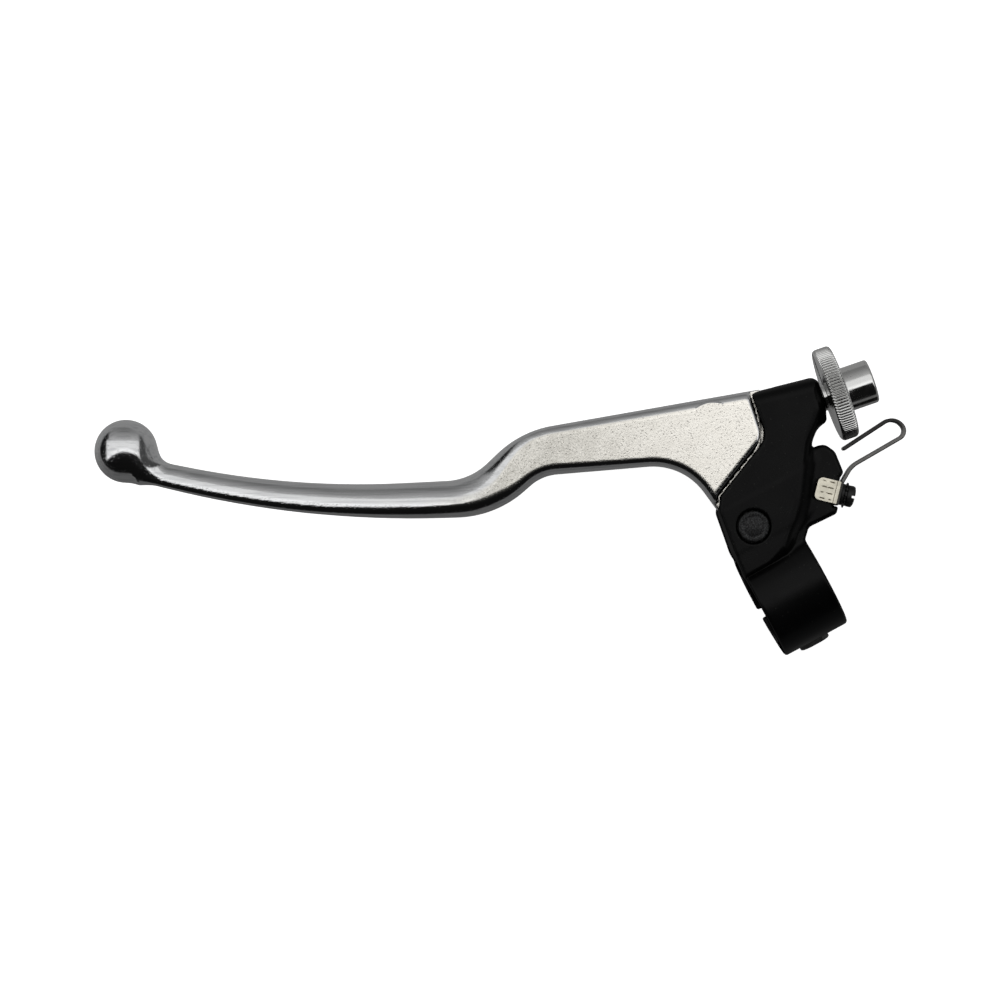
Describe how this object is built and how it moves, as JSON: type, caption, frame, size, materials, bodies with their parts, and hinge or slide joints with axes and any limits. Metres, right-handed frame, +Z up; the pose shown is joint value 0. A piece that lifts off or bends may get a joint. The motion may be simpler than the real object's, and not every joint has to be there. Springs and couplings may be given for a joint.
{
  "type": "clutch lever",
  "caption": "Hand lever with a ball end on a handlebar clamp bracket, with a knurled cable adjuster held by a bent spring strip.",
  "frame": {"origin": "centre of the handlebar bore, on the bar's axis, halfway along the clamp", "axes": "+X along the handlebar towards the middle of the motorcycle, +Y forwards from the bar to the lever, +Z up"},
  "size_m": [0.2073, 0.1525, 0.0419],
  "materials": {
    "perch_paint": "satin black coat over cast aluminium",
    "lever_aluminium": "die cast, blade and ball polished, hub faces linished",
    "bush_steel": "turned and greased",
    "pivot_bolt_steel": "dark, blasted face",
    "nut_zinc": "zinc plated",
    "insert_nylon": "natural nylon",
    "adjuster_chrome": "bright plated, straight knurl on the rim",
    "spring_steel": "plated strip with handling scratches",
    "black_fastener": "black oxide",
    "clamp_bolt_black": "black zinc"
  },
  "bodies": {
    "perch": {"perch": "perch_paint", "pivot_bolt": "pivot_bolt_steel", "pivot_nut": "nut_zinc", "nut_insert": "insert_nylon", "detent_spring": "spring_steel", "spring_screw": "black_fastener", "tooth_washer": "black_fastener", "flat_washer": "black_fastener", "clamp_bolt": "clamp_bolt_black"},
    "lever": {"lever": "lever_aluminium", "lever_bush": "bush_steel"},
    "adjuster": {"adjuster": "adjuster_chrome"}
  },
  "joints": [
    {"name": "lever_pivot", "type": "hinge", "parent": "perch", "child": "lever", "pos_m": [-0.0011, 0.0219, 0.005], "axis": [0, 0, 1], "range_deg": [0, 25]},
    {"name": "adjuster_turn", "type": "hinge", "parent": "perch", "child": "adjuster", "pos_m": [0.03795, 0.0439, 0.005], "axis": [0.9866, -0.1633, 0], "range_deg": [-270, 2160]}
  ]
}
